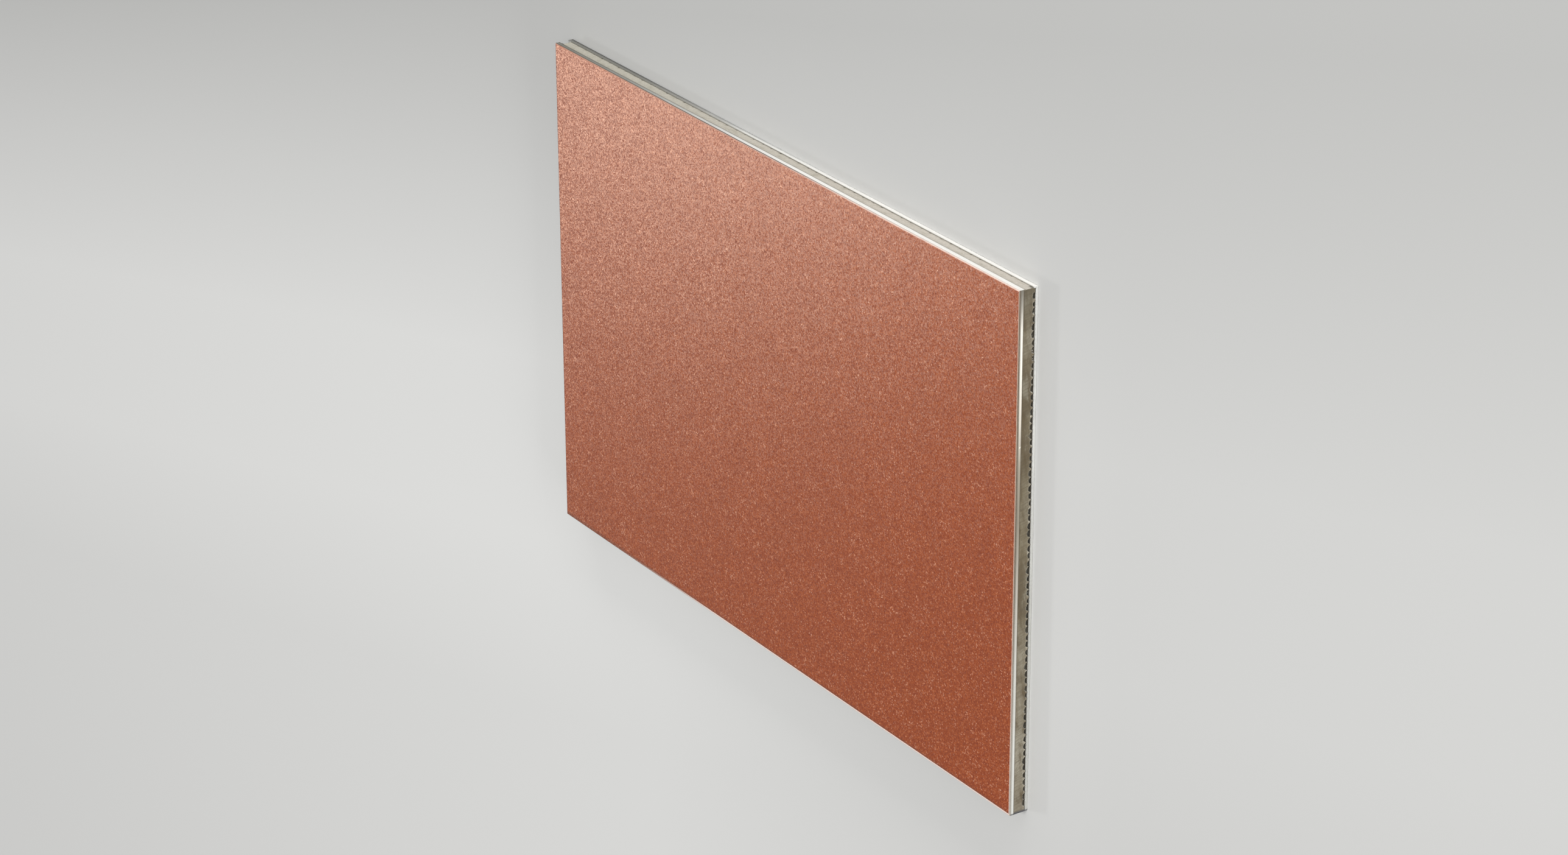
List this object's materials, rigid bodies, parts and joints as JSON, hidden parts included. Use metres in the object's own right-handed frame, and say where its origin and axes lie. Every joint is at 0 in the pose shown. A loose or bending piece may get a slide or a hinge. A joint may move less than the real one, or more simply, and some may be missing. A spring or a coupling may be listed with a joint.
{
  "type": "aluminium composite panel",
  "caption": "Flat rectangular composite panel: thin aluminium skins bonded to a mineral core, copper metallic coating on one face, sawn edges showing the layers.",
  "frame": {"origin": "middle of the rear face, which the panel lies on", "axes": "+X along the panel's width, +Y along its height, +Z through its thickness towards the coated face"},
  "size_m": [0.15, 0.1, 0.004],
  "materials": {
    "copper_coating": "satin metallic",
    "skin_aluminium": "mill finish, cut edges bright",
    "bond_film": "matt",
    "mineral_core": "sawn, matt"
  },
  "bodies": {
    "root": {"face_coating": "copper_coating", "front_skin": "skin_aluminium", "front_bond_film": "bond_film", "core": "mineral_core", "rear_bond_film": "bond_film", "rear_skin": "skin_aluminium"}
  },
  "joints": []
}
